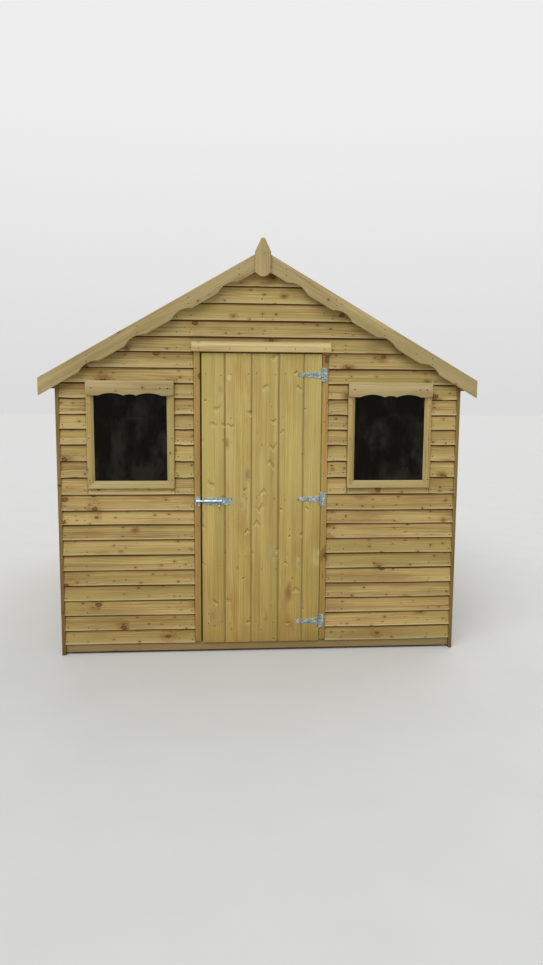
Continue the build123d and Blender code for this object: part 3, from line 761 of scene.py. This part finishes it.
class Wall:
    """One wall's lapped boards and nails, placed by how far along, out and up they lie."""

    def __init__(self, origin, along, out):
        self.origin = Vector(origin)
        self.along = along
        self.out = out
        self.boards = bmesh.new()
        self.nails = bmesh.new()

    def place(self, along, out, height):
        return self.origin + self.along * along + self.out * out + Vector((0, 0, height))

    def board(self, start, end, low, high, nails, top=None, gable=False):
        """One nailed board between two places along, from its lip up to the next lip or a stated top."""
        one = bmesh.new()
        shift, look = a_shift(), a_look("board")
        plank(one, lapped_section(high - low), stations_along(start, end),
              lambda along, out, rise: self.place(along, out, low + rise), look, shift, end_shade=0.55)
        if top is not None:
            cut_off(one, self.place(start, 0, top), UP)
        if gable:
            for side, _ in SIDES:
                normal = off_slope(side)
                cut_off(one, Vector((side * HALF_WIDTH, 0, EAVES)) - normal * ROOF_GAP, normal)
        merge(self.boards, one)
        driven = []
        for spot in nails:
            if start + SHADED_END < spot < end - SHADED_END:
                point = self.nail_place(spot, low, high)
                if not any(abs(spot - other) < NAIL_SPACING for other in driven):
                    self.drive(point, gable)
                driven.append(spot)

    def nail_place(self, spot, low, high, draws=random):
        """Where a nail near a spot along sits on the face of a board from a lip up to the next."""
        rise = draws.uniform(0.016, 0.030)
        out = BOARD_LIP - (BOARD_LIP - BOARD_TOP) / (high - low) * rise
        return self.place(spot + draws.uniform(-0.006, 0.006), out, low + rise)

    def drive(self, point, gable):
        """Nails a board at a point, unless that is too near the roof in the gable."""
        if not gable or under_roof(point):
            nail(self.nails, point, self.out)

    def close(self, name, replaced):
        piece_from(self.boards, name, WOODS["board"], replaced)
        piece_from(self.nails, name + "_nails", NAIL)


def front_course(number):
    """The height of a lip of the front's boards."""
    return LOWEST_LIP + number * BOARD_PITCH + LIP_SHIFTS.get(number, 0) / 1000


def front_bounds(name):
    """How far out from the middle one side's boards start, and its window frame starts and ends."""
    inner = max(abs(corner.x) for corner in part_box(f"jamb_strip_{name}")) + BOARD_GAP
    near, far = sorted(abs(corner.x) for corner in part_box(f"window_{name}_frame"))
    return inner, near, far


def nail_lines(inner, near, far):
    """How far out from the middle the front's boards are nailed: beside the window and beside the door."""
    return [near - 0.02, far + 0.02, inner + NAIL_INSET]


def beside_door(wall, side, name):
    """One side's boards from the door to the corner, beside and under the window."""
    inner, near, far = front_bounds(name)
    lines = [side * line for line in nail_lines(inner, near, far)]
    sill, head = (corner.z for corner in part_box(f"window_{name}_frame"))
    for number in range(FIRST_WHOLE_COURSE):
        low, high = front_course(number), front_course(number + 1)
        stretches = [(inner, HALF_WIDTH, None)]
        if low > sill - BOARD_PITCH * 0.6 and high < head + BOARD_PITCH * 0.3:
            stretches = [(inner, near - BOARD_GAP, None), (far + BOARD_GAP, HALF_WIDTH, None)]
            if low < sill:
                stretches.append((near - BOARD_GAP + 0.001, far + BOARD_GAP - 0.001, sill - BOARD_GAP))
        for one, other, top in stretches:
            start, end = sorted((side * one, side * other))
            spots = [start + NAIL_INSET, end - NAIL_INSET, *lines]
            wall.board(start, end, low, high, spots, top=top, gable=high > EAVES)


def over_door(wall):
    """The boards from side to side under the roof, whose right half's nails have draws of their own."""
    right_half = random.Random(9)
    lines = nail_lines(*front_bounds("left"))
    spots = [-HALF_WIDTH + NAIL_INSET, HALF_WIDTH - NAIL_INSET, *(-line for line in lines), 0.0]
    number = FIRST_WHOLE_COURSE
    while front_course(number) <= RIDGE:
        low, high = front_course(number), front_course(number + 1)
        wall.board(-HALF_WIDTH, HALF_WIDTH, low, high, spots, gable=True)
        for line in lines:
            wall.drive(wall.nail_place(line, low, high, right_half), gable=True)
        number += 1


def front_boards():
    """The front wall's boards."""
    wall = Wall((0, FRONT + BOARD_LIP, 0), RIGHT, FORWARD)
    beside_door(wall, -1, "left")
    over_door(wall)
    beside_door(wall, 1, "right")
    wall.close("front_boards", ["front_cladding_left", "front_cladding_right", "front_cladding_gable"])


def plain_course(number):
    """A lip of the other walls' boards, a little off its course, and the next lip."""
    low = LOWEST_LIP + number * BOARD_PITCH
    return low + random.uniform(-LIP_WAVER, LIP_WAVER), low + BOARD_PITCH


def courses_up_to(top):
    """Numbers of the regular courses whose lips lie no higher than the top."""
    return range(int((top - LOWEST_LIP) / BOARD_PITCH) + 1)


def back_boards():
    """The back wall's boards, up into the gable."""
    wall = Wall((0, -FRONT - BOARD_LIP, 0), RIGHT, BACK)
    studs = [-HALF_WIDTH + 0.02, -0.59, 0, 0.59, HALF_WIDTH - 0.02]
    for number in courses_up_to(RIDGE):
        low, high = plain_course(number)
        wall.board(-HALF_WIDTH, HALF_WIDTH, low, high, studs, gable=high > EAVES - 0.02)
    wall.close("back_boards", ["back_cladding"])


def side_boards(side, name):
    """One side wall's boards, the highest cut to fit under the roof."""
    wall = Wall((side * (HALF_WIDTH - BOARD_LIP), 0, 0), BACK, RIGHT * side)
    top = SIDE_TOP - BOARD_LIP * math.tan(PITCH) - ROOF_GAP
    last_stud = SIDE_END - 0.019
    studs = [-last_stud + index * 2 * last_stud / 5 for index in range(6)]
    for number in courses_up_to(top):
        low, high = plain_course(number)
        wall.board(-SIDE_END, SIDE_END, low, high, studs, top=top if high + BOARD_LAP > top else None)
    wall.close(name + "_boards", [name + "_cladding"])


def flat_row(name, node, start, along, across, length, width, thickness, board, bevel):
    """A row of flat boards in place of a node, side by side across, with bevelled long edges."""
    bm = bmesh.new()
    count = max(1, round(width / board))
    each = width / count
    normal = along.cross(across)
    for number in range(count):
        low = number * each + 0.0003
        high = (number + 1) * each - 0.0003
        outline = [
            (0.0, low + bevel), (0.0, high - bevel), (bevel, high), (thickness - bevel, high),
            (thickness, high - bevel), (thickness, low + bevel), (thickness - bevel, low), (bevel, low),
        ]
        section = [(depth, height, 0.0) for depth, height in outline]
        shift, look = a_shift(), a_look("deck")
        plank(bm, section, [(0, 0, 0), (length, 0, 0)],
              lambda run, depth, height: start + along * run + across * height + normal * depth, look, shift)
    piece_from(bm, name, WOODS["deck"], [node])


def roof_and_floor():
    """Boards of the floor and of both roof slopes."""
    low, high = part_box("floor_deck")
    flat_row("floor_boards", "floor_deck", Vector((low.x, low.y, high.z)), RIGHT, BACK,
             high.x - low.x, high.y - low.y, high.z - low.z, board=0.118, bevel=0.0008)
    for side, name in SIDES:
        node = "roof_boards_" + name
        low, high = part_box(node)
        inner, outer = sorted((abs(low.x), abs(high.x)))
        start = Vector((side * inner, low.y if side > 0 else high.y, high.z))
        run = (outer - inner - ROOF_BOARD * math.sin(PITCH)) / math.cos(PITCH)
        flat_row(node + "_boards", node, start, BACK * side, down_slope(side),
                 high.y - low.y, run, ROOF_BOARD, board=0.1, bevel=0.0012)


def felt_sheet(bm, corner, down, length, reach, thickness=FELT_THICKNESS, foot_lift=0.0):
    """A sheet of felt from a corner down and along, a little uneven, its foot raised over the next."""
    normal = down.cross(BACK)
    if normal.z < 0:
        normal = -normal
    sheets = []
    for level in (0.0, thickness):
        grid = []
        for row in range(FELT_ROWS + 1):
            share = row / FELT_ROWS
            line = []
            for column in range(FELT_COLUMNS + 1):
                uneven = 0.0004 * math.sin(column * 0.9 + row * 1.7) + random.uniform(0, 0.0003)
                lift = level + (uneven if level else 0.0) + foot_lift * share
                spot = corner + down * reach * share + BACK * length * column / FELT_COLUMNS
                line.append(bm.verts.new(spot + normal * lift))
            grid.append(line)
        sheets.append(grid)
    for grid, flip in zip(sheets, (True, False)):
        for one, two in zip(grid, grid[1:]):
            for column in range(FELT_COLUMNS):
                quad = (one[column], one[column + 1], two[column + 1], two[column])
                bm.faces.new(quad[::-1] if flip else quad)
    rims = [[grid[row] for grid in sheets] for row in (0, FELT_ROWS)]
    rims += [[[line[column] for line in grid] for grid in sheets] for column in (0, FELT_COLUMNS)]
    for under, over in rims:
        for index in range(len(under) - 1):
            bm.faces.new((under[index], under[index + 1], over[index + 1], over[index]))


def felt_nails(bm, first, length, spacing, normal, lift=0.0007):
    """A row of nails along the roof, from near a first place."""
    for step in range(int(length / spacing)):
        nail(bm, first + BACK * step * spacing, normal, FELT_NAIL, lift)


def slope_felt(side, name):
    """One slope's felt in three widths, and its turned-down edge at the eaves."""
    sheets, nails = bmesh.new(), bmesh.new()
    low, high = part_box("roof_felt_" + name)
    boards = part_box("roof_boards_" + name)
    length = high.y - low.y
    outer = max(abs(corner.x) for corner in boards)
    slope = outer / math.cos(PITCH)
    down, normal = down_slope(side), off_slope(side)
    start = Vector((side * 0.0002, low.y, boards[1].z)) + normal * 0.0002
    widths = 3
    for number in range(widths):
        begin = number * slope / widths - (FELT_LAP if number else 0.0)
        foot = (number + 1) * slope / widths
        felt_sheet(sheets, start + down * begin, down, length, foot - begin,
                   foot_lift=0.0012 if number < widths - 1 else 0.0)
        first = start + down * (foot - 0.022) + BACK * 0.06 + normal * 0.003
        felt_nails(nails, first, length, 0.15, normal)
    apron_top = start.z - outer * math.tan(PITCH) + 0.001
    edge = Vector((side * (outer + 0.0004), low.y, apron_top))
    hang = Vector((side * 0.02, 0, -1)).normalized()
    felt_sheet(sheets, edge, hang, length, apron_top - low.z, thickness=0.002)
    first = Vector((side * (outer + 0.0028), low.y + 0.05, low.z + 0.014))
    felt_nails(nails, first, length, 0.1, RIGHT * side, lift=0.0006)
    piece_from(sheets, f"roof_felt_{name}_sheets", FELT, ["roof_felt_" + name])
    piece_from(nails, f"roof_felt_{name}_nails", ZINC)


def ridge_felt():
    """The strip of felt over the ridge."""
    sheets, nails = bmesh.new(), bmesh.new()
    low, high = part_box("roof_felt_ridge")
    length = high.y - low.y
    corner = Vector((0, low.y, high.z - 0.0022 / math.cos(PITCH)))
    reach = high.x / math.cos(PITCH)
    for side, _ in SIDES:
        down, normal = down_slope(side), off_slope(side)
        felt_sheet(sheets, corner, down, length, reach)
        first = corner + down * (reach - 0.02) + BACK * 0.06 + normal * 0.002
        felt_nails(nails, first, length, 0.12, normal)
    piece_from(sheets, "roof_felt_ridge_sheet", FELT, ["roof_felt_ridge"])
    piece_from(nails, "roof_felt_ridge_nails", ZINC)


def metalwork():
    """Zinc on the hinges and the bolt, with their screws."""
    recoat(ZINC, "hinge_plates", "hinge_straps", "hinge_pins", "bolt_plate", "bolt_keep", "bolt_rod")
    jamb_screws, door_screws = bmesh.new(), bmesh.new()
    hinge_face, bolt_face = DOOR_FACE - 0.0025, DOOR_FACE - 0.002
    small = 0.0034
    plate_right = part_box("hinge_plates")[1].x
    strap_low, strap_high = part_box("hinge_straps")
    levels = sorted({round((low + high) / 2, 4) for low, high in spans("hinge_plates", 2)})
    for level in levels:
        for inset, rise in ((0.012, -0.034), (0.012, 0.034), (0.009, 0.0)):
            screw(jamb_screws, Vector((plate_right - inset, hinge_face, level + rise)))
        for share, rise in ((0.09, 0.0), (0.42, 0.004), (0.72, 0.0)):
            spot = strap_low.x + (strap_high.x - strap_low.x) * share
            screw(door_screws, Vector((spot, hinge_face, level + rise)))
    low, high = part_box("bolt_keep")
    for rise in (-0.023, 0.023):
        screw(jamb_screws, Vector(((low.x + high.x) / 2, bolt_face, (low.z + high.z) / 2 + rise)), small)
    low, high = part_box("bolt_plate")
    for spot in (low.x + 0.044, low.x + 0.098, high.x - 0.012, high.x - 0.045):
        for rise in (-0.0155, 0.0155):
            screw(door_screws, Vector((spot, bolt_face, (low.z + high.z) / 2 + rise)), small)
    piece_from(jamb_screws, "jamb_screws", ZINC)
    piece_from(door_screws, "door_screws", ZINC, body="door")


def door_nails():
    """Nails through the door's boards into the ledges."""
    bm = bmesh.new()
    boards = spans("door_boards", 0)
    for low, high in spans("door_ledges", 2):
        for left, right in boards:
            for spot in (left + 0.028, right - 0.028):
                rise = random.uniform(-0.008, 0.008)
                point = Vector((spot + random.uniform(-0.006, 0.006), DOOR_FACE, (low + high) / 2 + rise))
                nail(bm, point, FORWARD, radius=0.003)
    piece_from(bm, "door_nails", NAIL, body="door")


def window_nails(bm, name):
    """Nails in a window's pelmet and in the stiles of its frame."""
    low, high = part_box(f"window_{name}_pelmet")
    for offset in (-0.223, 0.178, 0.221):
        nail(bm, Vector(((low.x + high.x) / 2 + offset, low.y, low.z + 0.044)), FORWARD, radius=0.0044)
    low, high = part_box(f"window_{name}_frame")
    for across in (low.x + 0.014, high.x - 0.014):
        for rise in (0.05, 0.3, 0.5):
            nail(bm, Vector((across, low.y, low.z + rise)), FORWARD)


def jamb_nails(bm, name):
    """Nails up a strip beside the door."""
    low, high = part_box(f"jamb_strip_{name}")
    for step in range(6):
        spot = Vector(((low.x + high.x) / 2, low.y, low.z + 0.1 + step * 0.315))
        nail(bm, spot + RIGHT * random.uniform(-0.006, 0.006), FORWARD)


def corner_nails(bm, side, corner):
    """Nails up a corner strip, from its side."""
    low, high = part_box("corner_strip_" + corner)
    face = high.x if side > 0 else low.x
    for step in range(5):
        nail(bm, Vector((face, (low.y + high.y) / 2, 0.12 + step * 0.37)), RIGHT * side)


def bargeboard_nails(bm, side, toward, corner):
    """Pairs of nails along a bargeboard."""
    low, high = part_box("bargeboard_" + corner)
    face = low.y if toward < 0 else high.y
    for step in range(4):
        across = (0.16 + step * 0.34) * math.cos(PITCH)
        for under in (0.026, 0.056):
            level = high.z - across * math.tan(PITCH) - under / math.cos(PITCH)
            nail(bm, Vector((side * across, face, level)), BACK * toward)


def finial_nails(bm, toward, end):
    """Nails in a finial."""
    low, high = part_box("finial_" + end)
    face = low.y if toward < 0 else high.y
    for rise in (0.045, 0.105):
        nail(bm, Vector((0, face - toward * 0.0006, low.z + rise)), BACK * toward)


def trim_nails():
    """Nails through the strips, bargeboards, finials, pelmets and window frames."""
    bm = bmesh.new()
    low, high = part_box("door_head_strip")
    for share in (0.05, 0.27, 0.53, 0.74, 0.95):
        nail(bm, Vector((low.x + (high.x - low.x) * share, low.y, low.z + 0.018)), FORWARD)
    for side, name in SIDES:
        window_nails(bm, name)
        jamb_nails(bm, name)
        for toward, end in ENDS:
            corner_nails(bm, side, f"{end}_{name}")
            bargeboard_nails(bm, side, toward, f"{end}_{name}")
    for toward, end in ENDS:
        finial_nails(bm, toward, end)
    piece_from(bm, "trim_nails", NAIL)


def timbers():
    """Every plain timber of the shed, with its own grain."""
    dressed("front_frame", "timber", round_over=0.0014, lift=0.1, shade=covered_shade)
    for node in ("back_frame", "left_frame", "right_frame", "floor_bearers", "roof_purlins",
                 "roof_verge_battens", "eaves_fascia_left", "eaves_fascia_right"):
        dressed(node, "timber", round_over=0.0014, lift=0.1)
    for node in ("door_ledges", "door_braces"):
        dressed(node, "timber", "door")
    for corner in CORNERS:
        dressed("corner_strip_" + corner, "strip", lift=-0.36, hues=(0, 1))
    for _, name in SIDES:
        dressed("jamb_strip_" + name, "strip", lift=0.10, hues=(-1, -0.3))
    for corner in CORNERS:
        dressed("bargeboard_" + corner, "trim", hues=(-1, 0.3))
    for _, name in SIDES:
        dressed(f"window_{name}_pelmet", "moulding", lift=0.07, hues=(-1, 0.3), shade=pelmet_shade)
        dressed(f"window_{name}_frame", "moulding", lift=0.08, hues=(-1, -0.6), stiles="stile")
    dressed("door_head_strip", "moulding", lift=0.4, hues=(-1, -0.8), shade=lit_top_shade)
    for _, end in ENDS:
        dressed("finial_" + end, "trim", upright=True)
    dressed("door_boards", "door", "door", round_over=0.0007, lift=-0.04, shade=cove_shade)


def add_camera():
    """The photo's own viewpoint: a little left of the door, at eye height, turned slightly right and down."""
    yaw, pitch, roll = math.radians(4.38), math.radians(6.78), math.radians(0.35)
    eye = (-0.270, FRONT - 4.321, 1.580)
    focal_pixels, picture_height = 716, 965
    forward = Vector((math.sin(yaw) * math.cos(pitch), math.cos(yaw) * math.cos(pitch), -math.sin(pitch)))
    right = Vector((math.cos(yaw), -math.sin(yaw), 0))
    down = forward.cross(right)
    image_right = right * math.cos(roll) - down * math.sin(roll)
    image_down = right * math.sin(roll) + down * math.cos(roll)
    turn = Matrix((image_right, -image_down, -forward)).transposed()
    camera = add_object("camera", bpy.data.cameras.new("camera"))
    camera.matrix_world = Matrix.Translation(eye) @ turn.to_4x4()
    camera.data.sensor_width = 36
    camera.data.lens = focal_pixels / picture_height * camera.data.sensor_width
    camera.data.clip_end = 200
    bpy.context.scene.camera = camera


def add_sun(name, azimuth, elevation, spread, strength):
    """Soft light from far off; azimuth 0 comes from the front and 90 from the right."""
    light = bpy.data.lights.new(name, "SUN")
    light.angle = math.radians(spread)
    light.energy = strength
    turn, rise = math.radians(azimuth), math.radians(elevation)
    toward = Vector((math.sin(turn) * math.cos(rise), -math.cos(turn) * math.cos(rise), math.sin(rise)))
    add_object(name, light).rotation_euler = (-toward).to_track_quat("-Z", "Y").to_euler()


def add_floor():
    """A pale matt floor."""
    bm = bmesh.new()
    bmesh.ops.create_grid(bm, x_segments=1, y_segments=1, size=60)
    floor = add_object("floor", mesh_from(bm, "floor"))
    floor.location = (0, 0, -0.0005)
    n = material_nodes("floor_paint")
    n.base = n.mix(n.noise(n.place(), 3.0), colour(206, 206, 204), colour(212, 212, 210))
    floor.data.materials.append(n.finish(0.95))


def add_sky():
    """A plain dome of light, which the camera, gloss and glass see as a pale background."""
    n = Nodes(bpy.data.worlds.new("sky"))
    bpy.context.scene.world = n.owner
    rays = n.add("LightPath").outputs
    seen = n.math("MAXIMUM", rays["Is Camera Ray"], rays["Is Glossy Ray"])
    seen = n.math("MAXIMUM", seen, rays["Is Transmission Ray"])
    light = n.add("Background", (0.95, 0.98, 1.0, 1), 0.42)
    rise = n.split(n.add("TexCoord").outputs["Generated"])[2]
    fade = n.add("MapRange", rise, 0.0, 0.35).outputs[0]
    shown = n.add("Background", n.mix(fade, colour(219, 220, 219), colour(238, 238, 238)), 1.0)
    both = n.add("MixShader", seen, light.outputs[0], shown.outputs[0])
    n.add("OutputWorld", both.outputs[0])


def main():
    front_boards()
    back_boards()
    for side, name in SIDES:
        side_boards(side, name)
    roof_and_floor()
    for side, name in SIDES:
        slope_felt(side, name)
    ridge_felt()
    timbers()
    recoat(GLAZING, "window_left_glass", "window_right_glass")
    metalwork()
    door_nails()
    trim_nails()
    add_floor()
    add_sky()
    add_sun("sky_front", -20, 52, 50, 1.9)
    add_sun("sky_back", 160, 50, 60, 0.9)
    add_camera()
    bpy.context.scene.view_settings.view_transform = "Standard"


main()
